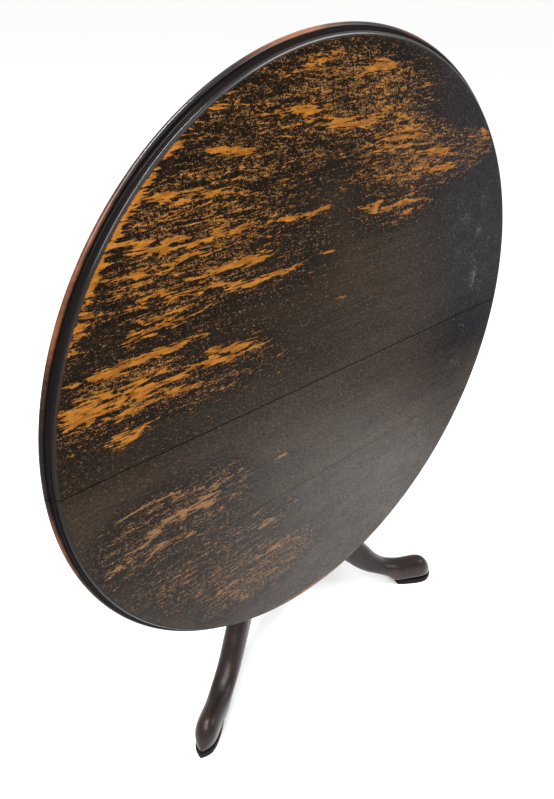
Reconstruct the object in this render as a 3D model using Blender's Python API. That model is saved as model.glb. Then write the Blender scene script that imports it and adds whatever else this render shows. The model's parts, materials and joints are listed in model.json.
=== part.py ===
"""Round tilt-top table on a turned column and three cabriole legs, at rest with its top tipped upright.

Metres, +Z up. The origin is on the floor under the middle of the whole object. The upright face of the top
looks along -Y, and the hinge runs along X through the two pintles of the block. Pieces of the top are
placed from the centre of its underside: x along the grain, y into the depth, z across the grain.
"""

import math

import bmesh
import bpy
from mathutils import Matrix, Vector

# The top and its hinge
TOP_RADIUS = 0.610
TOP_THICKNESS = 0.025
AXIS_TO_UNDERSIDE = 0.019
PINTLE_OFFSET = 0.122  # from the column's axis forward to the pintles' axis
PINTLE_HEIGHT = 0.658
JOINT_HEIGHTS = (-0.013, -0.252)  # the two glue joints, from the middle of the top
HAIRLINE = 0.0004  # open width of a glue joint

# Fits
GAP = 0.0003
BEARING_GAP = 0.0005

# The base
COLUMN_Y = -0.114
COLUMN_FOOT = 0.198
DRUM_RADIUS = 0.044
DRUM_TOP = 0.318
BLOCK_THICKNESS = 0.038
BLOCK_CHAMFER = 0.006
TENON_RADIUS = 0.024
PINTLE_RADIUS = 0.009
PINTLE_LENGTH = 0.0295
WEDGE_DEPTH = 0.026
FOOT_HEIGHT = 0.0125
LEG_ANGLES = {"front_left": 210, "front_right": 330, "back": 90}

# The bearers under the top
BEARER_WIDTH = 0.030
BEARER_THICKNESS = 0.038
BEARER_HALF_LENGTH = 0.480
BEARER_CLEARANCE = 0.0008
BEARER_SCREW_PLACES = (-0.42, -0.22, 0.14, 0.42)

# The spring catch, behind the block when the top is down
CATCH_START = 0.150
CATCH_END = 0.216
CATCH_HALF_WIDTH = 0.014
CATCH_DEPTH = 0.030
FLANGE_HALF_WIDTH = 0.030
FLANGE_THICKNESS = 0.003
FLANGE_SCREW_PLACES = ((-0.022, 0.163), (0.022, 0.163), (-0.022, 0.203), (0.022, 0.203))
BOLT_DEPTH = 0.0185  # the bolt's centre line, below the underside
BOLT_HALF_WIDTH = 0.007
BOLT_HALF_THICKNESS = 0.006
BOLT_REACH = 0.006  # how far the nose enters the keeper
BOLT_END = 0.190
BOLT_TRAVEL = 0.008
BOLT_FIT = 0.0004
KNOB_PLACE = 0.176
KNOB_STEM_RADIUS = 0.003
SPRING_END = 0.2117
KEEPER_HALF_WIDTH = 0.024
KEEPER_HALF_HEIGHT = 0.013
KEEPER_THICKNESS = 0.0025
KEEPER_SCREW_PLACE = 0.0165

# The iron plate that ties the legs under the column
PLATE_THICKNESS = 0.0025
PLATE_ARM = 0.080
PLATE_HALF_WIDTH = 0.011
NAIL_RADII = (0.056, 0.071)

# One leg, seen from its side: (top point, bottom point, half width, squareness above, squareness below),
# with each point as (distance from the column's axis, height)
LEG_SECTIONS = (
    ((0.030, 0.3100), (0.030, 0.1985), 0.0250, 6.0, 9.0),
    ((0.075, 0.3070), (0.084, 0.1985), 0.0250, 5.0, 8.0),
    ((0.120, 0.2920), (0.106, 0.1900), 0.0255, 4.0, 5.0),
    ((0.160, 0.2660), (0.134, 0.1750), 0.0260, 3.4, 3.6),
    ((0.195, 0.2350), (0.163, 0.1545), 0.0260, 3.0, 3.0),
    ((0.225, 0.2030), (0.191, 0.1310), 0.0260, 2.7, 2.7),
    ((0.250, 0.1720), (0.216, 0.1075), 0.0260, 2.5, 2.5),
    ((0.275, 0.1410), (0.240, 0.0855), 0.0260, 2.4, 2.4),
    ((0.300, 0.1100), (0.268, 0.0665), 0.0260, 2.3, 2.4),
    ((0.326, 0.0870), (0.300, 0.0525), 0.0260, 2.3, 2.4),
    ((0.350, 0.0775), (0.329, 0.0385), 0.0257, 2.3, 2.6),
    ((0.368, 0.0755), (0.350, 0.0240), 0.0253, 2.3, 3.2),
    ((0.384, 0.0755), (0.366, 0.0128), 0.0250, 2.2, 5.0),
    ((0.405, 0.0770), (0.400, 0.0128), 0.0250, 2.2, 6.0),
    ((0.424, 0.0775), (0.424, 0.0128), 0.0250, 2.1, 6.0),
    ((0.440, 0.0715), (0.440, 0.0128), 0.0232, 2.1, 6.0),
    ((0.452, 0.0600), (0.452, 0.0128), 0.0175, 2.0, 5.0),
    ((0.461, 0.0430), (0.460, 0.0128), 0.0100, 2.0, 4.0),
    ((0.466, 0.0250), (0.4655, 0.0128), 0.0025, 2.0, 3.0),
)
SECTION_POINTS = 20
# Plan of a foot's sole: (distance from the column's axis, half width), from its heel to its toe
SOLE_PLAN = ((0.372, 0.013), (0.395, 0.0165), (0.420, 0.019), (0.440, 0.0185), (0.453, 0.0145), (0.463, 0.007))
SOLE_TOE = 0.470
SOLE_HEEL_SLOPE = 0.012

UNDERSIDE_Y = COLUMN_Y - PINTLE_OFFSET - AXIS_TO_UNDERSIDE
TOP_CENTRE = Vector((0, UNDERSIDE_Y, PINTLE_HEIGHT + PINTLE_OFFSET))
COLUMN_AXIS = Vector((0, COLUMN_Y, 0))
PINTLE_AXIS = Vector((0, COLUMN_Y - PINTLE_OFFSET, PINTLE_HEIGHT))
BLOCK_HALF = PINTLE_OFFSET + AXIS_TO_UNDERSIDE - BEARING_GAP
BLOCK_TOP = PINTLE_HEIGHT + AXIS_TO_UNDERSIDE - BEARING_GAP
BLOCK_BOTTOM = BLOCK_TOP - BLOCK_THICKNESS
BEARER_X = BLOCK_HALF + BEARER_CLEARANCE + BEARER_WIDTH / 2
PLATE_TOP = COLUMN_FOOT - GAP
KEEPER_Z = PINTLE_HEIGHT + AXIS_TO_UNDERSIDE - BOLT_DEPTH

TO_BACK = Matrix.Rotation(math.radians(-90), 4, "X")  # sends a shape's +Z to +Y
TO_FRONT = Matrix.Rotation(math.radians(90), 4, "X")  # sends a shape's +Z to -Y
DOWNWARD = Matrix.Rotation(math.radians(180), 4, "X")
SIDEWAYS = Matrix.Rotation(math.radians(-90), 4, "Y")  # sends a shape's +X to +Z, and +Z to -X


def clear_scene():
    for obj in list(bpy.data.objects):
        bpy.data.objects.remove(obj, do_unlink=True)


def material(name, colour, roughness, metallic=0.0):
    made = bpy.data.materials.new(name)
    made.use_nodes = True
    shader = made.node_tree.nodes["Principled BSDF"]
    shader.inputs["Base Color"].default_value = (*colour, 1.0)
    shader.inputs["Roughness"].default_value = roughness
    shader.inputs["Metallic"].default_value = metallic
    return made


def add_object(name, shape, finish, place=(0, 0, 0), turn=None):
    """Makes an object from a bmesh, with its faces pointing out."""
    bmesh.ops.recalc_face_normals(shape, faces=shape.faces)
    mesh = bpy.data.meshes.new(name)
    shape.to_mesh(mesh)
    shape.free()
    mesh.shade_smooth()
    mesh.set_sharp_from_angle(angle=math.radians(35))
    if finish:
        mesh.materials.append(finish)
    obj = bpy.data.objects.new(name, mesh)
    bpy.context.scene.collection.objects.link(obj)
    obj.matrix_world = Matrix.Translation(place) @ (turn or Matrix.Identity(4))
    return obj


def helper(name, shape, place=(0, 0, 0), turn=None):
    """A shape that only cuts or joins others: it isn't a piece of the table."""
    obj = add_object(name, shape, None, place, turn)
    obj.hide_render = True
    obj.display_type = "WIRE"
    return obj


def boolean(obj, other, operation="DIFFERENCE"):
    step = obj.modifiers.new(f"{operation.lower()}_{other.name}", "BOOLEAN")
    step.operation = operation
    step.object = other
    step.solver = "EXACT"


def box_shape(low, high):
    shape = bmesh.new()
    bmesh.ops.create_cube(shape, size=1.0)
    bmesh.ops.scale(shape, vec=Vector(high) - Vector(low), verts=shape.verts)
    bmesh.ops.translate(shape, vec=(Vector(low) + Vector(high)) / 2, verts=shape.verts)
    return shape


def turned_shape(profile, segments):
    """Spins (radius, height) points about Z."""
    shape = bmesh.new()
    points = [shape.verts.new((radius, 0, height)) for radius, height in profile]
    edges = [shape.edges.new(pair) for pair in zip(points, points[1:])]
    bmesh.ops.spin(shape, geom=points + edges, axis=(0, 0, 1), angle=math.tau, steps=segments, use_merge=True)
    bmesh.ops.remove_doubles(shape, verts=shape.verts, dist=1e-6)
    return shape


def loft_shape(rings):
    """Closed skin through rings that hold the same number of points, with flat ends."""
    shape = bmesh.new()
    made = [[shape.verts.new(point) for point in ring] for ring in rings]
    for near, far in zip(made, made[1:]):
        for i in range(len(near)):
            j = (i + 1) % len(near)
            shape.faces.new((near[i], near[j], far[j], far[i]))
    shape.faces.new(reversed(made[0]))
    shape.faces.new(made[-1])
    return shape


def prism_shape(outline, low, high):
    """Extrudes an (x, y) outline between two heights."""
    return loft_shape([[(x, y, height) for x, y in outline] for height in (low, high)])


def rod_shape(radius, low, high, segments):
    return turned_shape([(0, high), (radius, high), (radius, low), (0, low)], segments)


def arc(centre, radius, start, end, steps):
    """Points on an arc, angles in degrees."""
    angles = [math.radians(start + (end - start) * i / steps) for i in range(steps + 1)]
    return [(centre[0] + radius * math.cos(a), centre[1] + radius * math.sin(a)) for a in angles]


def screw(name, place, turn, head_radius, shank_radius, length, finish, hosts):
    """A slotted countersunk wood screw whose head is flush at place and faces the turned +Z; it bores its hosts."""
    segments = 10
    sink = head_radius - shank_radius

    def profile(grow, lift):
        wide, thin = head_radius + grow, shank_radius + grow
        tip = length + grow
        return [(0, lift), (wide, lift), (wide, -0.0004 - grow), (thin, -sink - 0.0004 - grow), (thin, -tip), (0, -tip)]

    made = add_object(name, turned_shape(profile(0, 0), segments), finish, place, turn)
    slot = box_shape((-head_radius * 1.2, -0.0004, -0.001), (head_radius * 1.2, 0.0004, 0.001))
    boolean(made, helper(f"cut_slot_{name}", slot, place, turn))
    bore = helper(f"cut_bore_{name}", turned_shape(profile(GAP, 0.001), segments), place, turn)
    for host in hosts:
        boolean(host, bore)
    return made


def rim_profile():
    """The top's edge from its face to its underside, as (radius, height above the underside)."""
    wall = [(0.0186, 0.0), (0.0146, 0.0003), (0.0134, 0.0014), (0.0126, 0.0045), (0.0116, 0.0090), (0.0092, 0.0122)]
    bead = arc((TOP_RADIUS - 0.005, TOP_THICKNESS - 0.0182), 0.005, 90, -90, 6)
    edge = [(TOP_RADIUS - inset, TOP_THICKNESS - depth) for inset, depth in wall]
    return [(0, TOP_THICKNESS), *edge, *bead, (TOP_RADIUS - 0.010, 0), (0, 0)]


def top_boards(finish):
    """Three boards, glued edge to edge: each is a slab cut to the moulded disc."""
    disc = helper("join_disc", turned_shape(rim_profile(), 96), TOP_CENTRE, TO_FRONT)
    upper, lower = JOINT_HEIGHTS
    spans = {
        "top_board_upper": (upper + HAIRLINE / 2, TOP_RADIUS + 0.01),
        "top_board_middle": (lower + HAIRLINE / 2, upper - HAIRLINE / 2),
        "top_board_lower": (-TOP_RADIUS - 0.01, lower - HAIRLINE / 2),
    }
    boards = []
    for name, (low, high) in spans.items():
        reach = TOP_RADIUS + 0.01
        slab = box_shape((-reach, -TOP_THICKNESS - 0.01, low), (reach, 0.01, high))
        boards.append(add_object(name, slab, finish, TOP_CENTRE))
        boolean(boards[-1], disc, "INTERSECT")
    return boards


def bearers(finish, iron, boards):
    """The two cleats that cross the boards, carry the pintles and keep the top flat."""
    upper, middle, lower = boards
    board_at = dict(zip(BEARER_SCREW_PLACES, (lower, middle, upper, upper)))
    full, thin, taper = BEARER_THICKNESS, 0.014, 0.120
    reach = BEARER_HALF_LENGTH
    outline = [(-reach, GAP), (reach, GAP), (reach, thin), (reach - taper, full), (taper - reach, full), (-reach, thin)]
    pieces = []
    for side, sign in (("left", -1), ("right", 1)):
        place = TOP_CENTRE + Vector((sign * BEARER_X, 0, 0))
        shape = prism_shape(outline, -BEARER_WIDTH / 2, BEARER_WIDTH / 2)
        bearer = add_object(f"bearer_{side}", shape, finish, place, SIDEWAYS)
        hole = rod_shape(PINTLE_RADIUS + GAP, -BEARER_WIDTH, BEARER_WIDTH, 32)
        hole_place = PINTLE_AXIS + Vector((sign * BEARER_X, 0, 0))
        boolean(bearer, helper(f"cut_pintle_{side}", hole, hole_place, SIDEWAYS))
        pieces.append(bearer)
        for number, (along, board) in enumerate(board_at.items(), 1):
            head = place + Vector((0, full, along))
            if abs(along) > reach - taper:
                head.y = place.y + thin + (full - thin) * (reach - abs(along)) / taper - 0.004
            name = f"bearer_screw_{side}_{number}"
            length = head.y - place.y + 0.015
            pieces.append(screw(name, head, TO_BACK, 0.0045, 0.0024, length, iron, (bearer, board)))
    return pieces


def catch(brass, steel, board):
    """The spring catch on the underside. Returns the fixed pieces and the sliding ones."""
    fit = BOLT_FIT
    near, far = BOLT_DEPTH - BOLT_HALF_THICKNESS, BOLT_DEPTH + BOLT_HALF_THICKNESS
    case = add_object(
        "catch_case",
        box_shape((-CATCH_HALF_WIDTH, GAP, CATCH_START), (CATCH_HALF_WIDTH, CATCH_DEPTH, CATCH_END)),
        brass,
        TOP_CENTRE,
    )
    flange_low = (-FLANGE_HALF_WIDTH, GAP, CATCH_START + 0.005)
    flange_high = (FLANGE_HALF_WIDTH, FLANGE_THICKNESS, CATCH_END - 0.005)
    boolean(case, helper("join_flange", box_shape(flange_low, flange_high), TOP_CENTRE), "UNION")
    channel_low = (-BOLT_HALF_WIDTH - fit, near - fit, CATCH_START - 0.01)
    channel_high = (BOLT_HALF_WIDTH + fit, far + fit, SPRING_END + GAP)
    boolean(case, helper("cut_channel", box_shape(channel_low, channel_high), TOP_CENTRE))
    play = KNOB_STEM_RADIUS + 2 * fit
    slot = box_shape((-play, far, KNOB_PLACE - play), (play, CATCH_DEPTH + 0.01, KNOB_PLACE + BOLT_TRAVEL + play))
    boolean(case, helper("cut_knob_slot", slot, TOP_CENTRE))

    tip = BLOCK_HALF - BOLT_REACH
    bevel = 0.0085
    outline = [(tip, near), (BOLT_END, near), (BOLT_END, far), (tip + bevel, far), (tip, far - bevel)]
    bolt_shape = prism_shape(outline, -BOLT_HALF_WIDTH, BOLT_HALF_WIDTH)
    bolt = add_object("catch_bolt", bolt_shape, steel, TOP_CENTRE, SIDEWAYS)
    thread = 0.0022
    knob_place = TOP_CENTRE + Vector((0, far, KNOB_PLACE))
    boolean(bolt, helper("cut_thread", rod_shape(thread + GAP, -0.006, 0.001, 16), knob_place, TO_BACK))
    ball = arc((0, 0.0150), 0.007, 90, -62, 6)
    stem = [(KNOB_STEM_RADIUS, 0.008), (KNOB_STEM_RADIUS, GAP), (thread, GAP), (thread, -0.0055), (0, -0.0055)]
    ball[0] = (0, ball[0][1])
    knob = add_object("catch_knob", turned_shape(ball + stem, 16), brass, knob_place, TO_BACK)

    fixed = [case, coil_spring(steel, BOLT_END + GAP, SPRING_END)]
    for number, (x, z) in enumerate(FLANGE_SCREW_PLACES, 1):
        head = TOP_CENTRE + Vector((x, FLANGE_THICKNESS, z))
        fixed.append(screw(f"catch_screw_{number}", head, TO_BACK, 0.0034, 0.0016, 0.014, brass, (case, board)))
    return fixed, [bolt, knob]


def coil_spring(finish, start, end):
    """A compression spring in the catch's channel, its wire swept along a helix."""
    turns, steps, wire, radius = 6, 12, 0.0006, 0.0045
    rings = []
    for i in range(turns * steps + 1):
        angle = math.tau * i / steps
        height = start + wire + (end - start - 2 * wire) * i / (turns * steps)
        outward = Vector((math.cos(angle), math.sin(angle), 0))
        centre = outward * radius + Vector((0, BOLT_DEPTH, height))
        ring = [centre + wire * (outward * math.cos(a) + Vector((0, 0, math.sin(a)))) for a in hexagon_angles()]
        rings.append(ring)
    return add_object("catch_spring", loft_shape(rings), finish, TOP_CENTRE)


def hexagon_angles():
    return [math.tau * i / 6 for i in range(6)]


def block(finish, brass):
    """The square block with its two pintles, and the catch's keeper let into its back edge."""
    corner = arc((-PINTLE_OFFSET, PINTLE_HEIGHT), BLOCK_HALF - PINTLE_OFFSET, 90, 180, 8)
    low, inner = BLOCK_BOTTOM, BLOCK_HALF - BLOCK_CHAMFER
    section = [(BLOCK_HALF, BLOCK_TOP), *corner, (-BLOCK_HALF, low + BLOCK_CHAMFER), (-inner, low)]
    section += [(inner, low), (BLOCK_HALF, low + BLOCK_CHAMFER)]
    to_section = Matrix(((0, 0, 1, 0), (1, 0, 0, 0), (0, 1, 0, 0), (0, 0, 0, 1)))
    shape = prism_shape(section, -BLOCK_HALF, BLOCK_HALF)
    made = add_object("block", shape, finish, COLUMN_AXIS, to_section)
    reach = BLOCK_HALF + PINTLE_LENGTH
    pintles = helper("join_pintles", rod_shape(PINTLE_RADIUS, -reach, reach, 32), PINTLE_AXIS, SIDEWAYS)
    boolean(made, pintles, "UNION")
    mortise = rod_shape(TENON_RADIUS + GAP, BLOCK_BOTTOM - 0.01, BLOCK_TOP + 0.01, 32)
    boolean(made, helper("cut_mortise", mortise, COLUMN_AXIS))

    place = COLUMN_AXIS + Vector((0, BLOCK_HALF, KEEPER_Z))
    wide, high, thick = KEEPER_HALF_WIDTH, KEEPER_HALF_HEIGHT, KEEPER_THICKNESS
    recess = box_shape((-wide - GAP, -thick - GAP, -high - GAP), (wide + GAP, 0.01, high + GAP))
    boolean(made, helper("cut_keeper_recess", recess, place))
    mouth = Vector((BOLT_HALF_WIDTH + 0.0018, 0, BOLT_HALF_THICKNESS + 0.0018))
    pocket = box_shape(-mouth - Vector((0, 0.011, 0)), mouth + Vector((0, 0.01, 0)))
    boolean(made, helper("cut_bolt_pocket", pocket, place))
    keeper = add_object("keeper_plate", box_shape((-wide, -thick, -high), (wide, 0, high)), brass, place)
    boolean(keeper, helper("cut_keeper_mouth", box_shape(-mouth - Vector((0, 0.02, 0)), mouth * 0.97), place))
    pieces = [made, keeper]
    for side, sign in (("left", -1), ("right", 1)):
        head = place + Vector((sign * KEEPER_SCREW_PLACE, 0, 0))
        pieces.append(screw(f"keeper_screw_{side}", head, TO_BACK, 0.003, 0.0014, 0.012, brass, (keeper, made)))
    return pieces


def column_profile():
    """The turned column from its tenon down to its foot, as (radius, height)."""
    shoulder = BLOCK_BOTTOM - GAP
    tenon = [(0, BLOCK_TOP), (TENON_RADIUS, BLOCK_TOP), (TENON_RADIUS, shoulder)]
    capital = [(0.048, shoulder), (0.048, 0.631), *arc((0.048, 0.619), 0.012, 100, 170, 3)]
    neck_ring = [(0.0335, 0.617), *arc((0.0335, 0.613), 0.004, 60, -60, 3), (0.027, 0.607)]
    shaft = [(0.0275, 0.590), (0.0305, 0.530), (0.0335, 0.480), (0.0350, 0.452)]
    waist_ring = [(0.039, 0.450), *arc((0.039, 0.4445), 0.0045, 60, -60, 3), (0.0345, 0.438), (0.030, 0.430)]
    urn = [(0.0315, 0.422), (0.043, 0.410), (0.0535, 0.394), (0.057, 0.376), (0.0535, 0.358), (0.044, 0.342)]
    base_ring = [(0.037, 0.334), (0.043, 0.332), *arc((0.043, 0.3265), 0.0045, 60, -60, 3), (0.0435, 0.321)]
    drum = [(DRUM_RADIUS, DRUM_TOP), (DRUM_RADIUS, COLUMN_FOOT), (0, COLUMN_FOOT)]
    return tenon + capital + neck_ring + shaft + waist_ring + urn + base_ring + drum


def column(finish, wedge_wood):
    """The turned column, wedged where its tenon comes up through the block."""
    made = add_object("column", turned_shape(column_profile(), 32), finish, COLUMN_AXIS)

    def wedge_shape(grow, top):
        wide, thin = 0.0026 + grow, 0.0008 + grow
        low = BLOCK_TOP - WEDGE_DEPTH - grow
        long = TENON_RADIUS + 0.002 if grow else TENON_RADIUS - 0.003
        return loft_shape(
            [
                [(-long, -half, z), (long, -half, z), (long, half, z), (-long, half, z)]
                for half, z in ((thin, low), (wide, top))
            ]
        )

    boolean(made, helper("cut_wedge_slot", wedge_shape(GAP, BLOCK_TOP + 0.001), COLUMN_AXIS))
    wedge = add_object("tenon_wedge", wedge_shape(0, BLOCK_TOP), wedge_wood, COLUMN_AXIS)
    return made, wedge


def power(value, exponent):
    return math.copysign(abs(value) ** exponent, value)


def leg_shape():
    """One cabriole leg along +X, lofted through rounded sections that follow its curve."""
    rings = []
    for top, bottom, half_width, above, below in LEG_SECTIONS:
        centre = (Vector(top) + Vector(bottom)) / 2
        half = (Vector(top) - Vector(bottom)) / 2
        ring = []
        for i in range(SECTION_POINTS):
            angle = math.tau * i / SECTION_POINTS
            squareness = above if math.sin(angle) >= 0 else below
            across = half_width * power(math.cos(angle), 2 / squareness)
            along = centre + half * power(math.sin(angle), 2 / squareness)
            ring.append((along.x, across, along.y))
        rings.append(ring)
    return loft_shape(rings)


def tongue_shape(grow):
    """The dovetail on a leg's shoulder, in plan, and with grow its housing in the column."""
    root, neck, reach = 0.0100 + grow, 0.0070 + grow, 0.056 - 5 * grow
    outline = [(0.028 - grow, -root), (DRUM_RADIUS, -neck), (reach, -neck)]
    outline += [(x, -y) for x, y in reversed(outline)]
    low = COLUMN_FOOT - 0.002 if grow else COLUMN_FOOT + 0.0005
    return prism_shape(outline, low, 0.300 + grow)


def sole_shape():
    """The sole under a foot: a pointed plan whose heel slopes under."""

    def outline(heel):
        side = [(heel, SOLE_PLAN[0][1]), *SOLE_PLAN[1:]]
        return side + [(SOLE_TOE, 0.0)] + [(x, -y) for x, y in reversed(side)]

    heel = SOLE_PLAN[0][0]
    rings = [(heel, 0.0), (heel - SOLE_HEEL_SLOPE, FOOT_HEIGHT)]
    return loft_shape([[(x, y, z) for x, y in outline(start)] for start, z in rings])


def legs(finish, sole_finish, column_piece):
    """Three legs dovetailed up into the column, each with its sole."""
    drum = rod_shape(DRUM_RADIUS + GAP, COLUMN_FOOT - 0.02, DRUM_TOP + 0.02, 64)
    shoulder = helper("cut_shoulder", drum, COLUMN_AXIS)
    made = {}
    soles = []
    for corner, degrees in LEG_ANGLES.items():
        turn = Matrix.Rotation(math.radians(degrees), 4, "Z")
        leg = add_object(f"leg_{corner}", leg_shape(), finish, COLUMN_AXIS, turn)
        boolean(leg, shoulder)
        boolean(leg, helper(f"join_tongue_{corner}", tongue_shape(0), COLUMN_AXIS, turn), "UNION")
        boolean(column_piece, helper(f"cut_housing_{corner}", tongue_shape(GAP), COLUMN_AXIS, turn))
        made[corner] = leg
        soles.append(add_object(f"foot_sole_{corner}", sole_shape(), sole_finish, COLUMN_AXIS, turn))
    return made, soles


def tie_plate(iron, leg_pieces, column_piece):
    """The three-armed iron plate nailed under the column and the roots of the legs."""
    hub = 0.024
    outline = []
    for degrees in sorted(LEG_ANGLES.values()):
        turn = Matrix.Rotation(math.radians(degrees), 3, "Z")
        between = Matrix.Rotation(math.radians(degrees + 60), 3, "Z")
        corners = [Vector((hub, -PLATE_HALF_WIDTH, 0)), Vector((PLATE_ARM, -PLATE_HALF_WIDTH, 0))]
        corners += [Vector((PLATE_ARM, PLATE_HALF_WIDTH, 0)), Vector((hub, PLATE_HALF_WIDTH, 0))]
        outline += [tuple((turn @ corner).xy) for corner in corners]
        outline.append(tuple((between @ Vector((hub, 0, 0))).xy))
    shape = prism_shape(outline, PLATE_TOP - PLATE_THICKNESS, PLATE_TOP)
    plate = add_object("tie_plate", shape, iron, COLUMN_AXIS)
    pieces = [plate, nail("plate_nail_centre", COLUMN_AXIS, iron, (plate, column_piece))]
    for corner, degrees in LEG_ANGLES.items():
        turn = Matrix.Rotation(math.radians(degrees), 3, "Z")
        for number, radius in enumerate(NAIL_RADII, 1):
            place = COLUMN_AXIS + turn @ Vector((radius, 0, 0))
            pieces.append(nail(f"plate_nail_{corner}_{number}", place, iron, (plate, leg_pieces[corner])))
    return pieces


def nail(name, place, finish, hosts):
    """A rose-headed nail driven up through the plate."""
    shank, length, segments = 0.0015, 0.016, 8
    face = Vector((place.x, place.y, PLATE_TOP - PLATE_THICKNESS - GAP))
    head = [(0, 0.0018), (0.0028, 0.0010), (0.0042, 0.0), (shank, 0.0), (shank, -length), (0, -length)]
    made = add_object(name, turned_shape(head, segments), finish, face, DOWNWARD)
    bore = helper(f"cut_bore_{name}", rod_shape(shank + GAP, -length - GAP, 0.003, segments), face, DOWNWARD)
    for host in hosts:
        boolean(host, bore)
    return made


def pivot(name, place, pieces, parent=None):
    """An empty on a joint's axis that carries its pieces."""
    empty = bpy.data.objects.new(name, None)
    bpy.context.scene.collection.objects.link(empty)
    empty.location = place
    bpy.context.view_layer.update()
    for child in pieces:
        child.parent = empty
        child.matrix_parent_inverse = empty.matrix_world.inverted()
    if parent:
        empty.parent = parent
        empty.matrix_parent_inverse = parent.matrix_world.inverted()
    return empty


def main():
    clear_scene()
    painted = material("painted_top", (0.030, 0.026, 0.023), 0.35)
    ebonised = material("ebonised_wood", (0.022, 0.014, 0.011), 0.28)
    raw = material("old_oak", (0.16, 0.085, 0.040), 0.65)
    sole = material("sole_wood", (0.012, 0.010, 0.009), 0.55)
    brass = material("brass", (0.55, 0.38, 0.14), 0.38, 1.0)
    iron = material("iron", (0.09, 0.075, 0.065), 0.6, 1.0)

    boards = top_boards(painted)
    bearer_pieces = bearers(raw, iron, boards)
    catch_fixed, catch_sliding = catch(brass, iron, boards[0])
    block_pieces = block(raw, brass)
    column_piece, wedge = column(ebonised, raw)
    leg_pieces, soles = legs(ebonised, sole, column_piece)
    plate_pieces = tie_plate(iron, leg_pieces, column_piece)

    pivot("base_origin", (0, 0, 0), [*block_pieces, column_piece, wedge, *leg_pieces.values(), *soles, *plate_pieces])
    top = pivot("top_pivot", PINTLE_AXIS, [*boards, *bearer_pieces, *catch_fixed])
    pivot("catch_slide", TOP_CENTRE + Vector((0, BOLT_DEPTH, KNOB_PLACE)), catch_sliding, top)


main()
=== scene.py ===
"""The looks of the tilt-top table: finer pieces and worn finishes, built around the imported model."""

import json
import math

import bmesh
import bpy
from mathutils import Matrix, Vector, noise


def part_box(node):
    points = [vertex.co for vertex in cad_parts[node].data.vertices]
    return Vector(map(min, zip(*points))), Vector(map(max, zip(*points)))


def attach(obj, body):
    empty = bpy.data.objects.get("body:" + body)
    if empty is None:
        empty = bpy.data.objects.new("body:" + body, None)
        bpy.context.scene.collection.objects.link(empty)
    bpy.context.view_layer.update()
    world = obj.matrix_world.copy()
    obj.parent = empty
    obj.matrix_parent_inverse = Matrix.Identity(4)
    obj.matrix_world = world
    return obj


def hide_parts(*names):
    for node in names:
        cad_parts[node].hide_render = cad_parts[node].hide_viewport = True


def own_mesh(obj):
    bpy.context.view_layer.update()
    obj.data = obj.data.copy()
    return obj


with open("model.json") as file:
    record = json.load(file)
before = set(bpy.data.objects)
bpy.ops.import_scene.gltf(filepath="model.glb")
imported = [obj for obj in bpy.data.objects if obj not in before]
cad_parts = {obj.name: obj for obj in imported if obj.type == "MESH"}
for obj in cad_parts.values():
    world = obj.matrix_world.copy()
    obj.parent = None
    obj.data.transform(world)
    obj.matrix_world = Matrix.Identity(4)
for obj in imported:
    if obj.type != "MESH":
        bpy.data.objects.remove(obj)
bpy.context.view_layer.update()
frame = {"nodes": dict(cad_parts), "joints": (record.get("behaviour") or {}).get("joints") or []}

# ---------------------------------------------------------------- places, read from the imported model
JOINTS = {joint["name"]: joint for joint in frame["joints"]}
PINTLE_AXIS = Vector(JOINTS["top_tilt"]["pos_m"])
BOLT_TRAVEL = JOINTS["catch_draw"]["range_m"][1]
UPPER_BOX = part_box("top_board_upper")
MIDDLE_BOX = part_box("top_board_middle")
LOWER_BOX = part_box("top_board_lower")
COLUMN_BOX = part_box("column")
BLOCK_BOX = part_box("block")
PLATE_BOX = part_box("tie_plate")

TOP_RADIUS = UPPER_BOX[1].x
TOP_THICKNESS = UPPER_BOX[1].y - UPPER_BOX[0].y
UNDERSIDE_Y = UPPER_BOX[1].y
TOP_CENTRE = Vector((0, UNDERSIDE_Y, (UPPER_BOX[1].z + LOWER_BOX[0].z) / 2))
COLUMN_AXIS = Vector((0, (COLUMN_BOX[0].y + COLUMN_BOX[1].y) / 2, 0))
COLUMN_FOOT = COLUMN_BOX[0].z
BLOCK_TOP = BLOCK_BOX[1].z
BLOCK_BOTTOM = BLOCK_BOX[0].z
BLOCK_HALF = BLOCK_BOX[1].y - COLUMN_AXIS.y
PINTLE_RADIUS = 0.009
TENON_RADIUS = 0.024
GAP = 0.0003  # between neighbours
LEG_ANGLES = {"front_left": 210, "front_right": 330, "back": 90}

TO_BACK = Matrix.Rotation(math.radians(-90), 4, "X")  # sends a shape's +Z to +Y
TO_FRONT = Matrix.Rotation(math.radians(90), 4, "X")  # sends a shape's +Z to -Y
DOWNWARD = Matrix.Rotation(math.radians(180), 4, "X")
SIDEWAYS = Matrix.Rotation(math.radians(-90), 4, "Y")  # sends a shape's +X to +Z, and +Z to -X


# ---------------------------------------------------------------- shapes
def place_piece(name, shape, body, finishes, node=None, place=(0, 0, 0), turn=None, sharp=40):
    """Makes a piece from a bmesh in the row frame, and has it ride on its body in its CAD node's stead."""
    shape.transform(Matrix.Translation(place) @ (turn or Matrix.Identity(4)))
    bmesh.ops.recalc_face_normals(shape, faces=shape.faces)
    mesh = bpy.data.meshes.new(name)
    shape.to_mesh(mesh)
    shape.free()
    shade(mesh, sharp)
    for finish in finishes:
        mesh.materials.append(finish)
    piece = bpy.data.objects.new(name, mesh)
    bpy.context.scene.collection.objects.link(piece)
    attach(piece, body)
    if node:
        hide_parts(node)
    return piece


def shade(mesh, sharp):
    """Smooth shading, but for edges sharper than this angle in degrees."""
    mesh.shade_smooth()
    mesh.set_sharp_from_angle(angle=math.radians(sharp))


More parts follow.
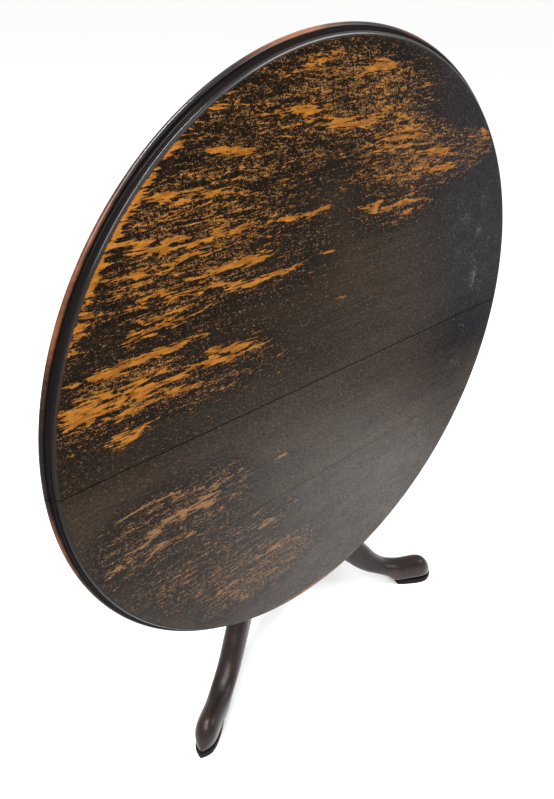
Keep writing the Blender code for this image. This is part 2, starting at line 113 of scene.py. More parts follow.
def cutter(name, shape, place=(0, 0, 0), turn=None):
    """A shape that only cuts others; it is removed once it has cut."""
    shape.transform(Matrix.Translation(place) @ (turn or Matrix.Identity(4)))
    bmesh.ops.recalc_face_normals(shape, faces=shape.faces)
    mesh = bpy.data.meshes.new(name)
    shape.to_mesh(mesh)
    shape.free()
    obj = bpy.data.objects.new(name, mesh)
    bpy.context.scene.collection.objects.link(obj)
    return obj


def cut(piece, *tools, operation="DIFFERENCE"):
    """Applies exact booleans, then removes the tools."""
    for tool in tools:
        step = piece.modifiers.new("cut", "BOOLEAN")
        step.operation = operation
        step.object = tool
        step.solver = "EXACT"
    apply_modifiers(piece)
    for tool in tools:
        bpy.data.objects.remove(tool, do_unlink=True)


def apply_modifiers(piece):
    graph = bpy.context.evaluated_depsgraph_get()
    made = bpy.data.meshes.new_from_object(piece.evaluated_get(graph))
    piece.modifiers.clear()
    piece.data = made


def soften(piece, width, segments=3, angle=30):
    """Rounds a piece's sharp edges."""
    step = piece.modifiers.new("rounding", "BEVEL")
    step.width = width
    step.segments = segments
    step.limit_method = "ANGLE"
    step.angle_limit = math.radians(angle)
    step.harden_normals = True
    apply_modifiers(piece)


def box_shape(low, high):
    shape = bmesh.new()
    bmesh.ops.create_cube(shape, size=1.0)
    bmesh.ops.scale(shape, vec=Vector(high) - Vector(low), verts=shape.verts)
    bmesh.ops.translate(shape, vec=(Vector(low) + Vector(high)) / 2, verts=shape.verts)
    return shape


def turned_shape(profile, segments=96):
    """Spins (radius, height) points about Z, with one shared point where a profile end is on the axis."""
    shape = bmesh.new()
    rings = []
    for radius, height in profile:
        if radius < 1e-7:
            rings.append([shape.verts.new((0, 0, height))] * segments)
            continue
        angles = (math.tau * i / segments for i in range(segments))
        points = [(radius * math.cos(a), radius * math.sin(a), height) for a in angles]
        rings.append([shape.verts.new(point) for point in points])
    for near, far in zip(rings, rings[1:]):
        for i in range(segments):
            j = (i + 1) % segments
            corners = dict.fromkeys((near[i], near[j], far[j], far[i]))
            shape.faces.new(list(corners))
    return shape


def loft_shape(rings):
    shape = bmesh.new()
    made = [[shape.verts.new(point) for point in ring] for ring in rings]
    for near, far in zip(made, made[1:]):
        for i in range(len(near)):
            j = (i + 1) % len(near)
            shape.faces.new((near[i], near[j], far[j], far[i]))
    shape.faces.new(reversed(made[0]))
    shape.faces.new(made[-1])
    return shape


def prism_shape(outline, low, high):
    return loft_shape([[(x, y, height) for x, y in outline] for height in (low, high)])


def rod_shape(radius, low, high, segments=48):
    return turned_shape([(0, high), (radius, high), (radius, low), (0, low)], segments)


def arc(centre, radius, start, end, steps):
    angles = [math.radians(start + (end - start) * i / steps) for i in range(steps + 1)]
    return [(centre[0] + radius * math.cos(a), centre[1] + radius * math.sin(a)) for a in angles]


def curve_through(points, steps):
    """Catmull-Rom points through a list of equal-length tuples."""
    made = []
    for i in range(len(points) - 1):
        before, start = points[max(i - 1, 0)], points[i]
        end, after = points[i + 1], points[min(i + 2, len(points) - 1)]
        for step in range(steps):
            t = step / steps
            made.append(tuple(catmull_rom(*four, t) for four in zip(before, start, end, after)))
    return made + [tuple(points[-1])]


def catmull_rom(a, b, c, d, t):
    return b + 0.5 * t * (c - a + t * (2 * a - 5 * b + 4 * c - d + t * (3 * (b - c) + d - a)))


# ---------------------------------------------------------------- finishes
class Finish:
    """A material being wired up. Lengths are in metres, because it reads object coordinates."""

    def __init__(self, name, roughness=0.5, metallic=0.0, specular=0.5):
        self.material = bpy.data.materials.new(name)
        self.material.use_nodes = True
        self.tree = self.material.node_tree
        self.shader = self.tree.nodes["Principled BSDF"]
        self.shader.inputs["Metallic"].default_value = metallic
        self.shader.inputs["Roughness"].default_value = roughness
        self.shader.inputs["Specular IOR Level"].default_value = specular
        self.place = self.node("TexCoord").outputs["Object"]

    def node(self, kind, values=None, **settings):
        made = self.tree.nodes.new(f"ShaderNode{kind}")
        for key, value in settings.items():
            setattr(made, key, value)
        for key, value in (values or {}).items():
            self.feed(made.inputs[key], value)
        return made

    def feed(self, socket, value):
        if isinstance(value, bpy.types.NodeSocket):
            self.tree.links.new(value, socket)
        else:
            socket.default_value = value

    def set(self, name, value):
        self.feed(self.shader.inputs[name], value)

    def attribute(self, name):
        return self.node("Attribute", attribute_name=name).outputs["Fac"]

    def scaled(self, scale, place=None, turn=(0, 0, 0), shift=(0, 0, 0)):
        values = {"Vector": place or self.place, "Scale": scale, "Rotation": turn, "Location": shift}
        return self.node("Mapping", values).outputs["Vector"]

    def noise(self, scale, detail=5.0, rough=0.6, shift=(0, 0, 0), distortion=0.0, place=None):
        values = {"Vector": self.scaled(scale, place, shift=shift), "Scale": 1.0}
        values |= {"Detail": detail, "Roughness": rough, "Distortion": distortion}
        return self.node("TexNoise", values).outputs["Fac"]

    def ridges(self, value, width):
        """1 along the lines where a noise crosses its middle, falling to 0 at the width beside them."""
        beside = self.maths("ABSOLUTE", self.add(value, -0.5))
        return self.spread(beside, 0.0, width, 1.0, 0.0, smooth=False)

    def maths(self, operation, first, second=0.0):
        made = self.node("Math", operation=operation)
        self.feed(made.inputs[0], first)
        self.feed(made.inputs[1], second)
        return made.outputs["Value"]

    def add(self, *values):
        total = values[0]
        for value in values[1:]:
            total = self.maths("ADD", total, value)
        return total

    def times(self, first, second):
        return self.maths("MULTIPLY", first, second)

    def less(self, first, second):
        return self.maths("SUBTRACT", first, second)

    def larger(self, first, second):
        return self.maths("MAXIMUM", first, second)

    def weighted(self, *pairs):
        """The sum of value times weight over (value, weight) pairs."""
        return self.add(*(self.times(value, weight) for value, weight in pairs))

    def spread(self, value, low, high, out_low=0.0, out_high=1.0, smooth=True):
        """value from low..high to out_low..out_high, held at both ends."""
        ends = {"Value": value, "From Min": low, "From Max": high, "To Min": out_low, "To Max": out_high}
        kind = "SMOOTHSTEP" if smooth else "LINEAR"
        return self.node("MapRange", ends, interpolation_type=kind).outputs["Result"]

    def mix(self, share, first, second, blend="MIX"):
        made = self.node("Mix", data_type="RGBA", blend_type=blend)
        self.feed(made.inputs["Factor"], share)
        self.feed(made.inputs["A"], first)
        self.feed(made.inputs["B"], second)
        return made.outputs["Result"]

    def bump(self, height, distance, strength=1.0, normal=None):
        values = {"Height": height, "Distance": distance, "Strength": strength}
        if normal:
            values["Normal"] = normal
        return self.node("Bump", values).outputs["Normal"]


def rgb(red, green, blue):
    """An sRGB colour, 0 to 255, as the shader's linear one."""
    def linear(value):
        value /= 255
        return value / 12.92 if value <= 0.04045 else ((value + 0.055) / 1.055) ** 2.4

    return (linear(red), linear(green), linear(blue), 1.0)


# What the boards' vertices tell the paint: see colour_board. One tone is a painted reflection, darker and
# bluer at the right of the face.
TONES = ("streaked", "flecked", "rubbed", "dull", "cool", "gloss", "rim", "scraped")


class WornPaint(Finish):
    """Near-black paint, rubbed through to ochre wood where the tones on the boards' vertices say."""

    def __init__(self):
        super().__init__("worn_paint", specular=0.12)
        for name in TONES:
            setattr(self, name, self.attribute(name))
        leaning = self.scaled((1, 1, 1), turn=(0, 0.5, 0))
        self.ripples = self.noise((15, 15, 100), 6, 0.62, (3.1, 1.7, 7.3), 0.5)
        self.medium = self.noise((34, 34, 130), 6, 0.66, (8.1, 2.7, 4.3))
        self.small = self.noise((130, 130, 300), 5, 0.7, (6.4, 3.3, 1.9))
        self.grit = self.noise((380, 380, 760), 3, 0.7, (9.2, 4.4, 2.8))
        self.nicks = self.noise((480, 480, 60), 4, 0.7, (1.2, 6.4, 3.8), place=leaning)
        self.grain = self.noise((2.2, 2.2, 330), 4, 0.6, (1.0, 0.0, 5.0))
        self.find_wear()
        self.set_looks()

    def find_wear(self):
        """Where the wood is bare, in streaks, flecks and edges, and where the paint by it is stained.

        Each kind is a sum of noises and tones, shifted so that the paint ends where it passes 0."""
        lines = self.ridges(self.noise((5.5, 5.5, 40), 5, 0.60, distortion=0.7), 0.10)
        threads = self.ridges(self.ripples, 0.11)
        streaks = self.weighted((lines, 0.16), (threads, 0.24), (self.medium, 0.26), (self.small, 0.34),
                                (self.streaked, 0.42))
        streaks = self.add(streaks, -0.798)
        flecks = self.weighted((threads, 0.05), (self.medium, 0.16), (self.small, 0.34), (self.grit, 0.34),
                               (self.nicks, 0.11), (self.flecked, 0.19))
        flecks = self.add(flecks, -0.712)
        edges = self.weighted((self.medium, 0.5), (self.small, 0.5), (self.rubbed, 0.35), (self.rim, -0.20))
        edges = self.add(edges, -0.70)
        self.solid = self.spread(streaks, -0.002, 0.010)
        bare = self.larger(self.solid, self.spread(flecks, -0.005, 0.019))
        self.bare = self.larger(bare, self.spread(edges, -0.03, 0.05))
        self.stained = self.spread(self.larger(streaks, flecks), -0.09, 0.0)

    def paint_colour(self):
        """Brown-black, blackest among flecks, with pale marks. It is darker and bluer at the right, marks
        there too, as a painted reflection, and darker on the rim as painted shade.
        """
        cloud = self.noise((3, 3, 8), 4, 0.55, (5.0, 2.0, 1.0))
        black = self.mix(self.spread(cloud, 0.35, 0.65), rgb(26, 20, 14), rgb(38, 30, 22))
        black = self.mix(self.times(self.spread(self.grain, 0.46, 0.72), 0.35), black, rgb(62, 48, 35))
        black = self.mix(self.times(self.spread(self.small, 0.50, 0.66), 0.5), black, rgb(76, 56, 40))
        black = self.mix(self.spread(self.flecked, 0.45, 0.9), black, rgb(14, 10, 6))
        # painted reflection: darker and bluer paint at the right of the face
        black = self.mix(self.cool, black, rgb(19, 20, 26))
        # painted shade: the rim's paint is made darker than the face's
        black = self.mix(self.rim, black, rgb(15, 12, 11))
        black = self.mix(self.times(self.stained, 0.5), black, rgb(42, 26, 12))
        marks = self.weighted((self.nicks, 0.42), (self.grit, 0.38), (self.small, 0.20),
                              (self.scraped, 0.055))
        marked = self.times(self.spread(marks, 0.550, 0.620, 0.0, 0.70), self.less(1.0, self.rim))
        # the pale marks turn grey-blue at the right under the same painted reflection
        return self.mix(marked, black, self.mix(self.cool, rgb(112, 98, 82), rgb(112, 112, 118)))

    def wood_colour(self):
        """Ochre where the paint is well gone, and tan where it is only thin."""
        ochre = self.mix(self.spread(self.medium, 0.36, 0.64), rgb(112, 68, 20), rgb(152, 98, 36))
        ochre = self.mix(self.times(self.spread(self.grain, 0.35, 0.62), 0.3), ochre, rgb(92, 52, 18))
        tan = self.mix(self.spread(self.grit, 0.38, 0.62), rgb(78, 58, 38), rgb(128, 98, 68))
        streaks = self.times(self.solid, self.spread(self.dull, 0.9, 0.4))
        rich = self.larger(streaks, self.spread(self.flecked, 0.7, 1.1, 0.0, 0.6))
        worn = self.mix(rich, tan, ochre)
        worn = self.mix(self.times(self.dull, 0.40), worn, tan)
        edge = self.mix(self.rim, rgb(142, 88, 32), rgb(96, 58, 36))
        return self.mix(self.spread(self.rubbed, 0.1, 0.4, 0.0, 0.75), worn, edge)

    def handled(self, colour):
        """Adds the soft brown wear on the rim, where hands have held it."""
        share = self.spread(self.add(self.rubbed, self.times(self.medium, 0.5)), 0.30, 1.25, 0.0, 0.85)
        brown = self.mix(self.small, rgb(70, 40, 24), rgb(150, 92, 58))
        return self.mix(self.times(self.rim, share), colour, brown)

    def set_looks(self):
        """Puts the colours together, darkens the glue joints, and sets the gloss and relief."""
        colour = self.handled(self.mix(self.bare, self.paint_colour(), self.wood_colour()))
        mottle = self.weighted((self.grit, 0.5), (self.small, 0.5))
        mottled = self.spread(mottle, 0.38, 0.62, 0.45, 1.55, smooth=False)
        shine = self.times(self.gloss, self.add(mottled, self.times(self.rim, self.less(1.0, mottled))))
        height = self.node("SeparateXYZ", {"Vector": self.place}).outputs["Z"]
        half_gap = 0.0002
        for joint, share in ((UPPER_BOX[0].z, 0.97), (MIDDLE_BOX[0].z, 0.35)):
            beside = self.maths("ABSOLUTE", self.add(height, half_gap - joint))
            dark = self.spread(beside, 0.0007, 0.0018, share, 0.0)
            colour = self.mix(dark, colour, rgb(4, 3, 2))
            shine = self.times(shine, self.less(1.0, dark))
        scuffs = self.noise((30, 30, 60), 5, 0.7, (2.0, 8.0, 4.0))
        matt = self.add(self.spread(scuffs, 0.3, 0.7, 0.42, 0.56), self.times(self.bare, 0.14))
        relief = self.weighted((self.bare, -0.5), (self.grain, 0.25), (self.small, 0.35))
        relief = self.times(relief, self.spread(self.rim, 0.0, 1.0, 1.0, 0.12))
        self.set("Base Color", colour)
        self.set("Specular IOR Level", shine)
        self.set("Roughness", self.less(matt, self.times(self.rim, 0.30)))
        self.set("Normal", self.bump(relief, 0.0006, 0.5))


def wood_finish(name, dark, light, grain, roughness, specular, depth=0.0004, tint=None):
    """Timber. Its grain scale is small along its length. A tint is (colour, share), laid on in clouds."""
    f = Finish(name, specular=specular)
    long = Vector(grain)
    figure = f.noise(long, detail=6, rough=0.6, distortion=1.2)
    pores = f.noise(long * 4.5, detail=4, rough=0.7, shift=(4, 2, 6))
    cloud = f.noise((6, 6, 6), detail=4, rough=0.6, shift=(2, 5, 1))
    share = f.add(f.times(figure, 0.65), f.times(pores, 0.35))
    colour = f.mix(f.spread(share, 0.36, 0.64), dark, light)
    colour = f.mix(f.times(f.spread(cloud, 0.4, 0.7), 0.5), colour, dark)
    if tint:
        patch = f.noise((14, 14, 14), detail=6, rough=0.7, shift=(7, 3, 9))
        colour = f.mix(f.times(f.spread(patch, 0.52, 0.66), tint[1]), colour, tint[0])
    f.set("Base Color", colour)
    f.set("Roughness", f.spread(cloud, 0.35, 0.65, *roughness))
    f.set("Normal", f.bump(share, depth, 0.5))
    return f.material


def metal_finish(name, dull, bright, roughness, scale=90, bump=0.00025):
    f = Finish(name, metallic=1.0)
    cloud = f.noise((scale, scale, scale), detail=7, rough=0.65)
    fine = f.noise((scale * 9,) * 3, detail=4, rough=0.6, shift=(3, 3, 3))
    f.set("Base Color", f.mix(f.spread(cloud, 0.38, 0.62), dull, bright))
    f.set("Roughness", f.spread(f.add(f.times(cloud, 0.6), f.times(fine, 0.4)), 0.35, 0.65, *roughness))
    f.set("Normal", f.bump(fine, bump, 0.4))
    return f.material


PAINT = WornPaint().material
EBONISED = wood_finish("ebonised_wood", rgb(17, 12, 10), rgb(34, 22, 18), (60, 60, 14),
                       (0.22, 0.36), 0.22, 0.0002, (rgb(60, 32, 24), 0.35))
SOLE = wood_finish("sole_wood", rgb(10, 8, 7), rgb(24, 18, 14), (50, 50, 160), (0.55, 0.8), 0.10)
UNDERSIDE = wood_finish("underside_oak", rgb(58, 36, 22), rgb(108, 72, 44), (5, 40, 46),
                        (0.6, 0.8), 0.25, 0.0006, (rgb(36, 24, 17), 0.8))
BEARER_OAK = wood_finish("bearer_oak", rgb(52, 33, 21), rgb(98, 64, 39), (60, 60, 6),
                         (0.55, 0.75), 0.3, 0.0005, (rgb(34, 23, 16), 0.7))
BLOCK_OAK = wood_finish("block_oak", rgb(46, 30, 20), rgb(92, 60, 37), (7, 60, 60),
                        (0.5, 0.72), 0.3, 0.0005, (rgb(30, 20, 14), 0.7))
WEDGE_OAK = wood_finish("wedge_oak", rgb(88, 58, 34), rgb(134, 94, 58), (60, 120, 12), (0.6, 0.8), 0.25)
BRASS = metal_finish("aged_brass", rgb(112, 82, 40), rgb(196, 156, 84), (0.28, 0.55))
IRON = metal_finish("dark_iron", rgb(46, 34, 28), rgb(88, 74, 66), (0.45, 0.75), 70, 0.0005)
STEEL = metal_finish("filed_steel", rgb(92, 86, 80), rgb(150, 146, 140), (0.3, 0.5), 120)


# ---------------------------------------------------------------- the top
# Places where the face's paint is worn, in metres from the middle of the face, along and across the grain:
# (x, z, half length, half height, strength, lean)
WORN_PATCHES = (
    (-0.478, 0.345, 0.045, 0.022, 1.15, 1.1),
    (-0.425, 0.405, 0.050, 0.018, 1.10, 0.9),
    (-0.372, 0.462, 0.035, 0.014, 0.95, 0.8),
    (-0.300, 0.510, 0.070, 0.014, 0.75, 0.45),
    (-0.530, 0.265, 0.022, 0.040, 0.80, 1.6),
    (-0.260, 0.452, 0.050, 0.007, 0.95, -0.15),
    (-0.330, 0.400, 0.110, 0.010, 0.75, 0.02),
    (-0.440, 0.345, 0.130, 0.012, 0.85, -0.05),
    (-0.250, 0.330, 0.200, 0.006, 0.85, -0.03),
    (-0.110, 0.326, 0.080, 0.005, 0.90, 0.06),
    (-0.380, 0.310, 0.150, 0.008, 0.70, 0.0),
    (-0.320, 0.272, 0.170, 0.007, 0.80, 0.02),
    (-0.210, 0.268, 0.080, 0.005, 0.75, 0.0),
    (-0.300, 0.248, 0.170, 0.006, 0.80, -0.10),
    (-0.180, 0.237, 0.090, 0.007, 1.00, 0.02),
    (-0.060, 0.247, 0.070, 0.004, 0.75, 0.0),
    (-0.390, 0.222, 0.075, 0.022, 0.75, 0.0),
    (-0.420, 0.172, 0.140, 0.010, 0.90, 0.0),
    (-0.480, 0.122, 0.120, 0.028, 1.00, 0.0),
    (-0.340, 0.120, 0.160, 0.015, 0.85, 0.08),
    (-0.250, 0.138, 0.060, 0.009, 0.95, 0.0),
    (-0.190, 0.128, 0.030, 0.006, 0.80, 0.0),
    (-0.420, 0.085, 0.110, 0.009, 0.75, 0.0),
    (-0.470, 0.045, 0.040, 0.020, 0.85, 0.0),
    (-0.400, 0.050, 0.080, 0.010, 0.45, 0.0),
    (-0.120, 0.492, 0.090, 0.009, 0.90, -0.06),
    (0.000, 0.466, 0.110, 0.009, 0.90, -0.10),
    (0.090, 0.462, 0.080, 0.010, 0.75, 0.0),
    (0.070, 0.542, 0.055, 0.018, 0.95, 0.0),
    (0.150, 0.530, 0.090, 0.020, 0.50, -0.2),
    (-0.080, 0.560, 0.110, 0.014, 0.55, 0.1),
    (0.150, 0.425, 0.060, 0.028, 0.90, 0.2),
    (0.110, 0.405, 0.090, 0.009, 0.75, 0.0),
    (0.020, 0.415, 0.110, 0.007, 0.50, 0.0),
    (0.260, 0.382, 0.075, 0.011, 0.90, 0.0),
    (0.285, 0.348, 0.060, 0.008, 0.95, -0.08),
    (0.200, 0.352, 0.080, 0.008, 0.50, 0.0),
    (0.390, 0.398, 0.090, 0.010, 0.55, -0.05),
    (0.428, 0.396, 0.022, 0.012, 0.90, -0.5),
    (0.160, 0.300, 0.120, 0.010, 0.65, -0.02),
    (0.080, 0.312, 0.060, 0.008, 0.70, 0.0),
    (0.220, 0.278, 0.065, 0.006, 0.85, 0.0),
    (0.000, 0.360, 0.150, 0.030, 0.32, 0.0),
    (-0.440, -0.098, 0.080, 0.007, 0.75, -0.10),
    (-0.330, -0.125, 0.080, 0.008, 0.60, -0.15),
    (-0.312, -0.158, 0.035, 0.020, 1.00, 0.0),
    (-0.390, -0.165, 0.080, 0.010, 0.80, 0.12),
    (-0.480, -0.190, 0.070, 0.009, 0.75, 0.25),
    (-0.430, -0.215, 0.040, 0.010, 0.60, 0.3),
    (-0.355, -0.225, 0.016, 0.010, 0.90, 0.0),
    (-0.130, -0.145, 0.020, 0.012, 0.75, -0.4),
    (-0.380, -0.310, 0.060, 0.010, 0.60, -0.2),
    (-0.150, -0.300, 0.070, 0.018, 0.55, 0.1),
    (-0.250, -0.415, 0.070, 0.009, 0.70, -0.1),
    (-0.130, -0.400, 0.060, 0.008, 0.75, -0.25),
    (-0.200, -0.445, 0.130, 0.022, 0.45, 0.0),
    (-0.300, -0.350, 0.150, 0.050, 0.30, 0.0),
    (0.010, 0.145, 0.025, 0.008, 0.45, 0.0),
    (0.095, -0.045, 0.060, 0.012, 0.35, 0.0),
    (0.340, -0.268, 0.018, 0.012, 0.45, -0.6),
)

# Where it is also worn in fine flecks: (x, z, half length, half height, density)
FLECKED_REGIONS = (
    (-0.32, 0.33, 0.20, 0.14, 0.96),
    (-0.48, 0.21, 0.12, 0.13, 0.78),
    (-0.16, 0.46, 0.22, 0.11, 0.92),
    (0.02, 0.52, 0.24, 0.08, 1.00),
    (0.17, 0.40, 0.17, 0.10, 1.02),
    (0.36, 0.37, 0.14, 0.07, 0.95),
    (0.16, 0.30, 0.15, 0.05, 0.90),
    (-0.14, 0.26, 0.13, 0.08, 0.82),
    (-0.46, 0.11, 0.14, 0.06, 0.98),
    (-0.30, 0.10, 0.16, 0.06, 0.90),
    (-0.45, 0.02, 0.13, 0.05, 0.70),
    (-0.28, 0.03, 0.12, 0.03, 0.66),
    (-0.33, -0.16, 0.17, 0.09, 0.90),
    (-0.47, -0.18, 0.12, 0.09, 0.88),
    (-0.34, -0.31, 0.18, 0.09, 0.88),
    (-0.17, -0.42, 0.22, 0.09, 0.95),
    (-0.16, -0.29, 0.13, 0.05, 0.82),
)


# Pale scratches at the right of the face, in upright rows: (x, z, half width, half height, strength)
SCRAPED_ROWS = (
    (0.470, 0.10, 0.017, 0.20, 1.0),
    (0.510, 0.11, 0.012, 0.10, 0.7),
    (0.455, -0.12, 0.030, 0.05, 0.8),
    (0.400, 0.20, 0.040, 0.10, 0.6),
    (0.520, -0.17, 0.040, 0.02, 0.8),
)

# Worn stretches of the face's edge and of the bead: (bearing in degrees, half width, strength)
EDGE_STRETCHES = ((150, 34, 0.62), (104, 14, 0.5), (269, 12, 1.0), (290, 3, 1.0))
BEAD_STRETCHES = ((150, 13, 1.1), (101, 9, 1.0), (193, 11, 0.7), (75, 10, 0.5), (270, 12, 0.8))

# Distances from the middle of the top
FACE_EDGE = 0.5912
ARRIS_SHINE = 0.5950
BEAD_MIDDLE = 0.6085


def bell(value):
    return math.exp(-value * value)


def ramp(value, low, high):
    t = min(max((value - low) / (high - low), 0.0), 1.0)
    return t * t * (3 - 2 * t)


def streaked_at(x, z):
    """How far the face's paint is rubbed through along the grain, from 0 to about 1."""
    sway = 0.014 * noise.noise((7 * x, 3.0, 6 * z)) + 0.007 * noise.noise((22 * x, 9.0, 14 * z))
    total = 0.0
    for px, pz, length, height, strength, lean in WORN_PATCHES:
        dx = (x - px) / length
        dz = (z + sway - pz - lean * (x - px)) / (height + 0.002)
        if abs(dx) < 1.5 and abs(dz) < 2.2:
            total = max(total, strength * bell(0.9 * dx * dx) * bell(dz))
    return total


def flecked_at(x, z):
    wander = 0.03 * noise.noise((5 * x, 2.0, 5 * z)) + 0.015 * noise.noise((17 * x, 5.0, 17 * z))
    density = 0.38 * ramp(z, -0.20, 0.05) * ramp(-x, -0.55, -0.35) + 0.30 * ramp(-x, -0.2, 0.1)
    density = max(density, 0.30 + 0.20 * ramp(-x, -0.1, 0.3) * ramp(-z, 0.0, 0.15))
    for px, pz, length, height, strength in FLECKED_REGIONS:
        away = math.hypot((x + wander - px) / length, (z + wander - pz) / height)
        density = max(density, strength * (1 - ramp(away, 0.45, 1.35)) + density * ramp(away, 0.45, 1.35))
    return density


def strongest(stretches, bearing):
    return max(strength * bell((bearing - middle) / half) for middle, half, strength in stretches)


def rubbed_at(x, z, radius, bearing):
    """Wear along the face's edge, broader at the bottom, and on the bead."""
    patchy = 0.85 + 0.5 * noise.noise((9 * x, 1.0, 9 * z)) + 0.35 * noise.noise((31 * x, 4.0, 31 * z))
    edge = strongest(EDGE_STRETCHES, bearing) * bell((radius - FACE_EDGE) / 0.0024)
    bottom = 1.3 * bell((bearing - 268) / 12) * bell((radius - FACE_EDGE + 0.0007) / 0.0055)
    bead = strongest(BEAD_STRETCHES, bearing) * bell((radius - BEAD_MIDDLE) / 0.0040)
    return (max(edge, bottom) + bead) * patchy


def scraped_at(x, z):
    wander = 0.012 * noise.noise((9 * x, 7.0, 9 * z))
    clump = max(0.45 + 1.5 * noise.noise((26 * x, 5.0, 30 * z)), 0.0)
    return clump * max(strength * bell((x + wander - px) / width) * bell((z - pz) / height)
                       for px, pz, width, height, strength in SCRAPED_ROWS)


def face_gloss(x, z):
    """The face's specular level: dead at the upper left, waxed smooth at the lower right."""
    pool = ramp(-z - 0.45 * x, -0.02, 0.28) * ramp(x, -0.45, 0.20) * (1 - 0.70 * ramp(x, 0.24, 0.48))
    shade_patch = bell(math.hypot((x - 0.46) / 0.22, (z + 0.08) / 0.13))
    low = 0.060 * ramp(-z, -0.15, 0.35) * (1 - 0.45 * ramp(x, 0.30, 0.52))
    level = 0.018 + 0.030 * ramp(x - z, -0.7, 0.0) + low + 0.25 * pool
    return level * (1 - 0.9 * shade_patch)


def rim_gloss(radius, bearing):
    """The rim's specular level: only the arris and the bead shine, most of all at the upper left."""
    lit = 0.12 + 0.88 * bell((bearing - 110) / 36)
    proud = bell((radius - ARRIS_SHINE) / 0.0020) + 0.5 * bell((radius - BEAD_MIDDLE) / 0.0030)
    return 0.024 + 0.95 * proud * lit


def tones_at(x, z):
    """What the paint reads at one place, by the names in TONES."""
    radius, bearing = math.hypot(x, z), math.degrees(math.atan2(z, x)) % 360
    rim = ramp(radius, 0.5905, 0.5935)
    flecked = flecked_at(x, z)
    return {
        "streaked": max(streaked_at(x, z), 0.70 * (flecked - 0.42)) * (1 - rim),
        "flecked": flecked * (1 - rim) + 0.2 * rim,
        "rubbed": rubbed_at(x, z, radius, bearing),
        "dull": 0.75 * ramp(-z, -0.05, 0.10) + 0.35 * ramp(x, -0.15, 0.10) * ramp(z, -0.10, 0.20),
        # painted reflection: the paint is tinted darker and bluer at the right of the face
        "cool": 0.85 * ramp(x + 0.2 * z, 0.15, 0.50) * ramp(z, -0.30, -0.02),
        "gloss": face_gloss(x, z) * (1 - rim) + rim_gloss(radius, bearing) * rim,
        "rim": rim,
        "scraped": scraped_at(x, z),
    }


def top_profile():
    """The top from the middle of its face round to the middle of its underside, as (radius, height)."""
    t = TOP_THICKNESS
    face = [(0.005 * i, t) for i in range(119)]
    arris = [(0.5914, t - 0.0005)] + arc((0.5932, t - 0.0050), 0.0049, 90, 6, 14)
    wall = [(0.5984, t - 0.0066), (0.5988, t - 0.0088), (0.5995, t - 0.0108)]
    cove = [(0.6006, t - 0.0126), (0.6018, t - 0.0136), (0.6030, t - 0.0138)]
    bead = arc((TOP_RADIUS - 0.005, t - 0.0182), 0.005, 100, -95, 14)
    back = [(0.6038, t - 0.0236), (0.6018, t - 0.0245), (0.5990, t - 0.0249), (0.5960, 0.0)]
    underside = [(0.45, 0.0), (0.30, 0.0), (0.15, 0.0), (0.0, 0.0)]
    return face + arris + wall + cove + bead + back + underside


def make_top():
    """The three boards, cut from one moulded disc at the frame's own joints."""
    whole = turned_shape(top_profile(), 512)
    whole.transform(Matrix.Translation(TOP_CENTRE) @ TO_FRONT)
    cuts = {
        "top_board_upper": (UPPER_BOX[0].z, None),
        "top_board_middle": (MIDDLE_BOX[0].z, MIDDLE_BOX[1].z),
        "top_board_lower": (None, LOWER_BOX[1].z),
    }
    for name, (low, high) in cuts.items():
        shape = whole.copy()
        for height, side in ((low, -1), (high, 1)):
            if height is None:
                continue
            geometry = shape.verts[:] + shape.edges[:] + shape.faces[:]
            found = bmesh.ops.bisect_plane(
                shape, geom=geometry, plane_co=(0, 0, height), plane_no=(0, 0, side), clear_outer=True
            )
            edges = [e for e in found["geom_cut"] if isinstance(e, bmesh.types.BMEdge)]
            bmesh.ops.contextual_create(shape, geom=edges)
        board = place_piece(name.replace("top_", "") + "_moulded", shape, "top",
                            (PAINT, UNDERSIDE), name, sharp=50)
        colour_board(board.data)
    whole.free()


def colour_board(mesh):
    """Writes the tones that the paint reads, and gives the underside and glue joints bare wood."""
    tones = [tones_at(vertex.co.x, vertex.co.z - TOP_CENTRE.z) for vertex in mesh.vertices]
    for name in TONES:
        values = [tone[name] for tone in tones]
        mesh.attributes.new(name, "FLOAT", "POINT").data.foreach_set("value", values)
    back = TOP_CENTRE.y - 0.0012
    for face in mesh.polygons:
        facing_joint = abs(face.normal.z) > 0.98 and abs(face.normal.y) < 0.1 and len(face.vertices) > 8
        if face.center.y > back or facing_joint:
            face.material_index = 1


# ---------------------------------------------------------------- under the top
def wood_screw(node, head, shank, body, finish):
    """A slotted wood screw in its CAD node's stead, flush with what it holds. Head and shank are radii."""
    low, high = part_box(node)
    place = Vector(((low.x + high.x) / 2, high.y, (low.z + high.z) / 2))
    length = high.y - low.y
    edge, point = 0.0005, 0.1 * length
    profile = [(0, 0.0), (head * 0.85, 0.0), (head, -0.0002), (head, -edge), (shank, shank - head - edge)]
    profile += [(shank, point - length), (0, -length)]
    name = f"{node}_slotted"
    made = place_piece(name, turned_shape(profile, 40), body, (finish,), node, place, TO_BACK)
    lean = Matrix.Rotation(0.7 + 9.0 * (place.x + place.z), 4, "Z")
    groove = box_shape((-head * 1.3, -0.0004, -0.0009), (head * 1.3, 0.0004, 0.001))
    cut(made, cutter("groove", groove, place, TO_BACK @ lean))
    shade(made.data, 35)


